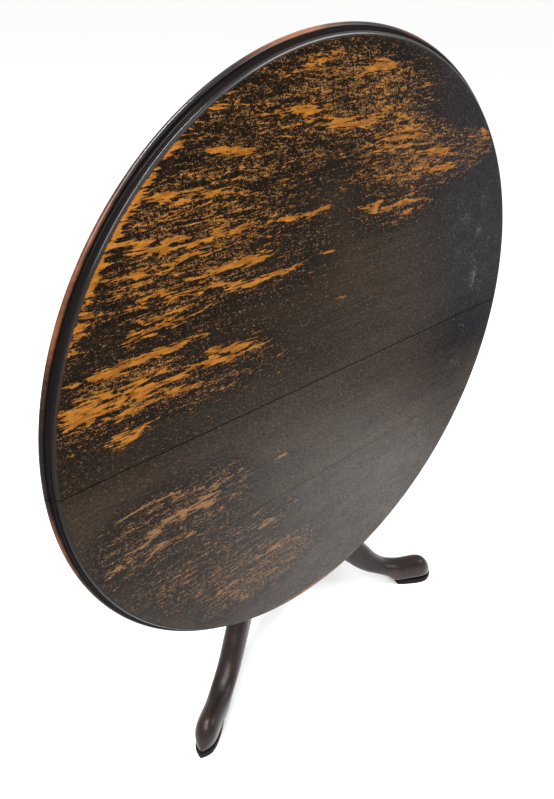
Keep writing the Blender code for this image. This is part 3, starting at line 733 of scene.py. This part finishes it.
def make_bearers():
    """The two tapered cleats across the boards, with their pintle holes and screws."""
    for side in ("left", "right"):
        low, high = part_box(f"bearer_{side}")
        full = high.y - UNDERSIDE_Y
        thin, taper, reach = 0.014, 0.120, (high.z - low.z) / 2
        outline = [(-reach, GAP), (reach, GAP), (reach, thin), (reach - taper, full)]
        outline += [(taper - reach, full), (-reach, thin)]
        middle = Vector(((low.x + high.x) / 2, TOP_CENTRE.y, TOP_CENTRE.z))
        half = (high.x - low.x) / 2
        bearer = place_piece(f"bearer_{side}_cleat", prism_shape(outline, -half, half), "top",
                             (BEARER_OAK,), f"bearer_{side}", middle, SIDEWAYS)
        hole = rod_shape(PINTLE_RADIUS + GAP, -0.03, 0.03, 64)
        cut(bearer, cutter("hole", hole, PINTLE_AXIS + Vector((middle.x, 0, 0)), SIDEWAYS))
        soften(bearer, 0.0012)
        for number in (1, 2, 3, 4):
            wood_screw(f"bearer_screw_{side}_{number}", 0.0044, 0.0024, "top", IRON)


def keeper_mouth():
    """The opening in the keeper and the pocket behind it in the block, which take the bolt's nose."""
    low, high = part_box("keeper_plate")
    middle = (low.z + high.z) / 2
    half_width, half_height, pocket, past = 0.0088, 0.0078, 0.0085, 0.01
    return box_shape((-half_width, low.y - pocket, middle - half_height),
                     (half_width, high.y + past, middle + half_height))


def make_block():
    """The squared block on the column's head, its front corner rounded about the pintles."""
    centre = COLUMN_AXIS
    front = PINTLE_AXIS.y - centre.y
    corner = arc((front, PINTLE_AXIS.z), BLOCK_HALF + front, 90, 180, 16)
    chamfer = 0.006
    section = [(BLOCK_HALF, BLOCK_TOP), *corner, (-BLOCK_HALF, BLOCK_BOTTOM + chamfer)]
    section += [(chamfer - BLOCK_HALF, BLOCK_BOTTOM), (BLOCK_HALF - chamfer, BLOCK_BOTTOM)]
    section += [(BLOCK_HALF, BLOCK_BOTTOM + chamfer)]
    to_section = Matrix(((0, 0, 1, 0), (1, 0, 0, 0), (0, 1, 0, 0), (0, 0, 0, 1)))
    block = place_piece("block_squared", prism_shape(section, -BLOCK_HALF, BLOCK_HALF), "base",
                        (BLOCK_OAK,), "block", centre, to_section)
    soften(block, 0.0015)

    keeper_low, keeper_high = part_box("keeper_plate")
    gap = Vector((GAP, GAP, GAP))
    recess = box_shape(keeper_low - gap, keeper_high + gap + Vector((0, 0.01, 0)))
    mortise = rod_shape(TENON_RADIUS + GAP, BLOCK_BOTTOM - 0.01, BLOCK_TOP + 0.01, 96)
    cut(block, cutter("recess", recess), cutter("pocket", keeper_mouth()),
        cutter("mortise", mortise, centre))

    reach = BLOCK_BOX[1].x
    ends = [(0, reach), (0.0075, reach), (0.0088, reach - 0.0008), (PINTLE_RADIUS, reach - 0.0022)]
    ends += [(radius, -height) for radius, height in reversed(ends)]
    cut(block, cutter("pintles", turned_shape(ends, 64), PINTLE_AXIS, SIDEWAYS), operation="UNION")
    shade(block.data, 35)


def make_keeper():
    low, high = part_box("keeper_plate")
    keeper = place_piece("keeper_pierced", box_shape(low, high), "base", (BRASS,),
                         "keeper_plate")
    cut(keeper, cutter("mouth", keeper_mouth()))
    soften(keeper, 0.0004, 2)
    for side in ("left", "right"):
        wood_screw(f"keeper_screw_{side}", 0.0029, 0.0014, "base", BRASS)


def make_case():
    """The catch's brass case and flange, with a channel for the bolt and a slot for the knob's stem."""
    low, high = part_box("catch_case")
    bolt_low, bolt_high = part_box("catch_bolt")
    depth, start, end = high.y - UNDERSIDE_Y, low.z - TOP_CENTRE.z, high.z - TOP_CENTRE.z
    half_width, flange_thickness, step, fit = 0.014, 0.003, 0.005, 0.0004
    case = place_piece("catch_case_brass", box_shape((-half_width, GAP, start), (half_width, depth, end)),
                       "top", (BRASS,), "catch_case", TOP_CENTRE)
    soften(case, 0.0012)
    flange = box_shape((low.x, GAP, start + step), (high.x, flange_thickness, end - step))
    cut(case, cutter("flange", flange, TOP_CENTRE), operation="UNION")
    slot_half, knob_z = 0.0038, knob_place().z
    channel = box_shape((bolt_low.x - fit, bolt_low.y - fit, low.z - 0.01),
                        (bolt_high.x + fit, bolt_high.y + fit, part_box("catch_spring")[1].z + GAP))
    slot = box_shape((-slot_half, bolt_high.y - 0.001, knob_z - slot_half),
                     (slot_half, high.y + 0.01, knob_z + BOLT_TRAVEL + slot_half))
    cut(case, cutter("channel", channel), cutter("slot", slot))
    shade(case.data, 35)


def knob_place():
    """The middle of the knob's stem, on the bolt's back."""
    low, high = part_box("catch_knob")
    return Vector((0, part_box("catch_bolt")[1].y, (low.z + high.z) / 2))


def make_bolt():
    low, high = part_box("catch_bolt")
    near, far = low.y - UNDERSIDE_Y, high.y - UNDERSIDE_Y
    tip, tail = low.z - TOP_CENTRE.z, high.z - TOP_CENTRE.z
    bevel = 0.0085
    outline = [(tip, near), (tail, near), (tail, far), (tip + bevel, far), (tip, far - bevel)]
    bolt = place_piece("catch_bolt_bevelled", prism_shape(outline, low.x, high.x), "catch",
                       (STEEL,), "catch_bolt", TOP_CENTRE, SIDEWAYS)
    cut(bolt, cutter("thread", rod_shape(0.0025, -0.006, 0.001, 32), knob_place(), TO_BACK))
    soften(bolt, 0.0005, 2)


def make_knob():
    """A ball on a thin stem, with a thinner end that screws into the bolt."""
    stem, screw = 0.0030, 0.0022
    ball = arc((0, 0.0150), 0.007, 90, -62, 18)
    ball[0] = (0, ball[0][1])
    below = [(0.0031, 0.0084), (stem, 0.0075), (stem, GAP), (screw, GAP), (screw, -0.0055), (0, -0.0055)]
    place_piece("catch_knob_turned", turned_shape(ball + below, 64), "catch", (BRASS,),
                "catch_knob", knob_place(), TO_BACK)


def make_spring():
    """The coil in the catch, made at one length; it does not flatten here as the bolt is drawn."""
    low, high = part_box("catch_spring")
    centre = (low + high) / 2
    turns, steps, sides, wire = 6, 32, 12, 0.0006
    radius, rise = (high.x - low.x) / 2 - wire, high.z - low.z - 2 * wire
    rings = []
    for i in range(turns * steps + 1):
        angle = math.tau * i / steps
        outward = Vector((math.cos(angle), math.sin(angle), 0))
        height = low.z + wire + rise * i / (turns * steps)
        middle = Vector((centre.x, centre.y, height)) + outward * radius
        around = (math.tau * k / sides for k in range(sides))
        spokes = [outward * math.cos(a) + Vector((0, 0, math.sin(a))) for a in around]
        rings.append([middle + wire * spoke for spoke in spokes])
    spring = place_piece("catch_spring_coil", loft_shape(rings), "top", (STEEL,),
                         "catch_spring")
    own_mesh(spring)


def make_catch():
    make_case()
    make_bolt()
    make_knob()
    make_spring()
    for number in (1, 2, 3, 4):
        wood_screw(f"catch_screw_{number}", 0.0033, 0.0016, "top", BRASS)


# ---------------------------------------------------------------- the base
def column_profile():
    """The column from the top of its tenon to its foot, as (radius, height)."""
    shoulder, foot = BLOCK_BOTTOM - GAP, COLUMN_FOOT
    tenon = [(0, BLOCK_TOP), (TENON_RADIUS - 0.0008, BLOCK_TOP), (TENON_RADIUS, BLOCK_TOP - 0.0008),
             (TENON_RADIUS, shoulder)]
    capital = [(0.0475, shoulder), (0.048, shoulder - 0.0008), (0.048, 0.6312)]
    capital += arc((0.048, 0.619), 0.012, 100, 175, 8)
    neck_ring = [(0.0340, 0.6172), *arc((0.0335, 0.613), 0.004, 75, -75, 8), (0.0290, 0.6080)]
    shaft = [(0.0268, 0.6050), (0.0272, 0.590), (0.0290, 0.560), (0.0312, 0.520), (0.0335, 0.480),
             (0.0346, 0.458), (0.0350, 0.4515)]
    waist_ring = [(0.0370, 0.4510), (0.0385, 0.4492), *arc((0.039, 0.4445), 0.0045, 75, -75, 8)]
    waist_ring.append((0.0355, 0.4385))
    urn = [(0.0318, 0.4360), (0.0300, 0.4300), (0.0325, 0.4205), (0.0430, 0.4100), (0.0535, 0.3940),
           (0.0570, 0.3760), (0.0535, 0.3580), (0.0440, 0.3420), (0.0375, 0.3345)]
    base_ring = [(0.0385, 0.3325), (0.0425, 0.3318), *arc((0.043, 0.3265), 0.0045, 75, -75, 8)]
    base_ring.append((0.0430, 0.3205))
    drum = [(0.0425, 0.3190), (0.0432, 0.3182), (0.044, 0.3172), (0.044, foot + 0.0012), (0.0428, foot)]
    upper = tenon + capital + neck_ring + curve_through(shaft, 5) + waist_ring
    return upper + curve_through(urn, 6) + base_ring + drum + [(0, foot)]


def wedge_shape(grow, top, bottom):
    """The wedge that spreads the tenon, or the slot for it when it is grown."""
    thick, thin, long = 0.0026 + grow, 0.0008 + grow, 0.021 + 5 * grow
    rings = [[(-long, -half, z), (long, -half, z), (long, half, z), (-long, half, z)]
             for half, z in ((thin, bottom - grow), (thick, top))]
    return loft_shape(rings)


def make_column():
    column = place_piece("column_turned", turned_shape(column_profile(), 128), "base",
                         (EBONISED,), "column", COLUMN_AXIS, sharp=50)
    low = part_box("tenon_wedge")[0].z
    cut(column, cutter("wedge_slot", wedge_shape(GAP, BLOCK_TOP + 0.001, low), COLUMN_AXIS))
    shade(column.data, 50)
    place_piece("tenon_wedge_split", wedge_shape(0, BLOCK_TOP - 0.0002, low), "base",
                (WEDGE_OAK,), "tenon_wedge", COLUMN_AXIS)


SOLE_TOP = 0.0156
LEG_SIDES = 56
FOOT_BOTTOM = SOLE_TOP + 0.0002

# One leg, seen from its side: (top point, bottom point, half width, squareness above, squareness below),
# with each point as (distance from the column's axis, height)
LEG_SECTIONS = (
    (0.030, 0.3100, 0.030, 0.1990, 0.0250, 7.0, 9.0),
    (0.075, 0.3065, 0.084, 0.1985, 0.0250, 6.0, 8.0),
    (0.120, 0.2915, 0.106, 0.1900, 0.0255, 4.4, 5.0),
    (0.160, 0.2660, 0.134, 0.1750, 0.0260, 3.6, 3.6),
    (0.195, 0.2350, 0.163, 0.1545, 0.0260, 3.1, 3.0),
    (0.225, 0.2030, 0.191, 0.1310, 0.0260, 2.8, 2.7),
    (0.250, 0.1720, 0.216, 0.1075, 0.0260, 2.5, 2.5),
    (0.275, 0.1410, 0.240, 0.0855, 0.0260, 2.4, 2.4),
    (0.300, 0.1100, 0.268, 0.0665, 0.0260, 2.3, 2.4),
    (0.326, 0.0870, 0.300, 0.0525, 0.0260, 2.3, 2.4),
    (0.350, 0.0775, 0.329, 0.0385, 0.0257, 2.3, 2.6),
    (0.368, 0.0755, 0.350, 0.0240, 0.0253, 2.3, 3.2),
    (0.384, 0.0765, 0.366, 0.0160, 0.0250, 2.2, 3.6),
    (0.405, 0.0780, 0.400, FOOT_BOTTOM, 0.0250, 2.2, 3.8),
    (0.424, 0.0785, 0.424, FOOT_BOTTOM, 0.0250, 2.1, 3.8),
    (0.440, 0.0725, 0.440, FOOT_BOTTOM, 0.0232, 2.1, 3.8),
    (0.452, 0.0610, 0.452, FOOT_BOTTOM, 0.0180, 2.0, 3.6),
    (0.461, 0.0440, 0.460, FOOT_BOTTOM, 0.0105, 2.0, 3.2),
    (0.466, 0.0270, 0.4655, FOOT_BOTTOM, 0.0028, 2.0, 2.8),
)


def power(value, exponent):
    """A power that keeps the sign."""
    return math.copysign(abs(value) ** exponent, value)


def leg_shape():
    """A cabriole leg out along +X, lofted through rounded squares."""
    rings = []
    for top_x, top_z, low_x, low_z, half_width, above, below in curve_through(LEG_SECTIONS, 6):
        low_z = max(low_z, FOOT_BOTTOM)
        centre = Vector((top_x + low_x, top_z + low_z)) / 2
        half = Vector((top_x - low_x, top_z - low_z)) / 2
        ring = []
        for i in range(LEG_SIDES):
            angle = math.tau * i / LEG_SIDES
            squareness = above if math.sin(angle) >= 0 else below
            across = half_width * power(math.cos(angle), 2 / squareness)
            along = centre + half * power(math.sin(angle), 2 / squareness)
            ring.append((along.x, across, along.y))
        rings.append(ring)
    return loft_shape(rings)


def sole_shape():
    """The pointed platform under a foot, with rounded edges and an undercut heel."""
    side_points = [(0.372, 0.0175), (0.395, 0.0212), (0.420, 0.0232), (0.440, 0.0222), (0.453, 0.0182),
                   (0.463, 0.0100), (0.4695, 0.0015)]
    plan = curve_through(side_points, 4)
    levels = ((0.0012, 0.372, 0.0), (0.0, 0.371, 0.0012), (0.0, 0.361, 0.0143), (0.0010, 0.359, SOLE_TOP))
    rings = []
    for inset, heel, z in levels:
        side = [(heel + inset, plan[0][1])] + plan[1:]
        side = [(x, max(y - inset, 0.0004)) for x, y in side]
        rings.append([(x, y, z) for x, y in side + [(x, -y) for x, y in reversed(side)]])
    return loft_shape(rings)


def make_legs():
    for corner, degrees in LEG_ANGLES.items():
        turn = Matrix.Rotation(math.radians(degrees), 4, "Z")
        place_piece(f"leg_{corner}_cabriole", leg_shape(), "base", (EBONISED,),
                    f"leg_{corner}", COLUMN_AXIS, turn, sharp=60)
        place_piece(f"foot_sole_{corner}_pointed", sole_shape(), "base", (SOLE,),
                    f"foot_sole_{corner}", COLUMN_AXIS, turn)


def make_plate():
    """The iron plate with an arm along each leg, and its nails."""
    low, high = PLATE_BOX
    hub, arm, half_width = 0.024, high.y - COLUMN_AXIS.y, 0.011
    tip = arc((arm - half_width, 0), half_width, -90, 90, 12)
    outline = []
    for degrees in sorted(LEG_ANGLES.values()):
        along = Matrix.Rotation(math.radians(degrees), 3, "Z")
        between = Matrix.Rotation(math.radians(degrees + 60), 3, "Z")
        corners = [(hub, -half_width), *tip, (hub, half_width)]
        outline += [tuple((along @ Vector((x, y, 0))).xy) for x, y in corners]
        outline.append(tuple((between @ Vector((hub, 0, 0))).xy))
    plate = place_piece("tie_plate_forged", prism_shape(outline, low.z, high.z), "base",
                        (IRON,), "tie_plate", COLUMN_AXIS)
    soften(plate, 0.0005, 2)
    for node in [name for name in frame["nodes"] if name.startswith("plate_nail")]:
        make_nail(node)


def make_nail(node):
    """A rose-headed nail driven up through the plate."""
    low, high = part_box(node)
    place = Vector(((low.x + high.x) / 2, (low.y + high.y) / 2, PLATE_BOX[0].z - GAP))
    shank, length = 0.0015, 0.0160
    head = [(0, 0.0018), (0.0012, 0.0017), (0.0028, 0.0010), (0.0040, 0.0002), (0.0042, 0.0)]
    shape = turned_shape(head + [(shank, 0.0), (shank, 0.001 - length), (0, -length)], 14)
    place_piece(f"{node}_rose", shape, "base", (IRON,), node, place, DOWNWARD, sharp=20)


make_top()
make_bearers()
make_block()
make_keeper()
make_catch()
make_column()
make_legs()
make_plate()


# ---------------------------------------------------------------- camera, floor and light
def make_camera():
    """The camera looks down at the table's face from its left."""
    azimuth, elevation, roll = math.radians(-44.401), math.radians(31.373), math.radians(1.894)
    distance, aim = 1.3555, TOP_CENTRE + Vector((-0.1458, -TOP_THICKNESS, -0.0133))
    back = Vector((math.sin(azimuth) * math.cos(elevation), -math.cos(azimuth) * math.cos(elevation),
                   math.sin(elevation)))
    side = Vector((0, 0, 1)).cross(back).normalized()
    up = back.cross(side)
    right = math.cos(roll) * side + math.sin(roll) * up
    data = bpy.data.cameras.new("camera")
    data.sensor_width = 36
    data.lens = 32.691
    data.clip_end = 200
    camera = bpy.data.objects.new("camera", data)
    turn = Matrix((right, back.cross(right), back)).transposed()
    camera.matrix_world = Matrix.Translation(aim + distance * back) @ turn.to_4x4()
    bpy.context.scene.collection.objects.link(camera)
    bpy.context.scene.camera = camera


def make_floor():
    f = Finish("floor_paper", roughness=0.9, specular=0.1)
    tone = f.noise((1.5, 1.5, 1.5), detail=3, rough=0.5)
    f.set("Base Color", f.mix(tone, (0.96, 0.96, 0.96, 1), (0.98, 0.98, 0.98, 1)))
    shape = bmesh.new()
    bmesh.ops.create_grid(shape, x_segments=4, y_segments=4, size=60)
    mesh = bpy.data.meshes.new("floor")
    shape.to_mesh(mesh)
    shape.free()
    mesh.materials.append(f.material)
    floor = bpy.data.objects.new("floor", mesh)
    bpy.context.scene.collection.objects.link(floor)


def soft_light(name, place, target, width, length, power_watts):
    data = bpy.data.lights.new(name, "AREA")
    data.shape = "RECTANGLE"
    data.size, data.size_y = width, length
    data.energy = power_watts
    lamp = bpy.data.objects.new(name, data)
    aim = Vector(target) - Vector(place)
    lamp.matrix_world = Matrix.Translation(place) @ aim.to_track_quat("-Z", "Y").to_matrix().to_4x4()
    bpy.context.scene.collection.objects.link(lamp)


def make_light():
    world = bpy.data.worlds.new("studio")
    world.use_nodes = True
    sky = world.node_tree.nodes["Background"]
    sky.inputs["Color"].default_value = (1.0, 1.0, 1.0, 1)
    sky.inputs["Strength"].default_value = 1.0
    bpy.context.scene.world = world
    soft_light("key", (-2.4, -1.6, 3.2), (0, -0.2, 0.8), 1.6, 1.6, 110)
    soft_light("fill", (2.5, -3.0, 2.6), (0, 0, 0.6), 2.0, 2.0, 60)
    soft_light("overhead", (-1.35, -0.38, 4.23), (-0.36, -0.28, 1.26), 0.35, 1.5, 150)


make_camera()
make_floor()
make_light()
bpy.context.scene.view_settings.view_transform = "Standard"
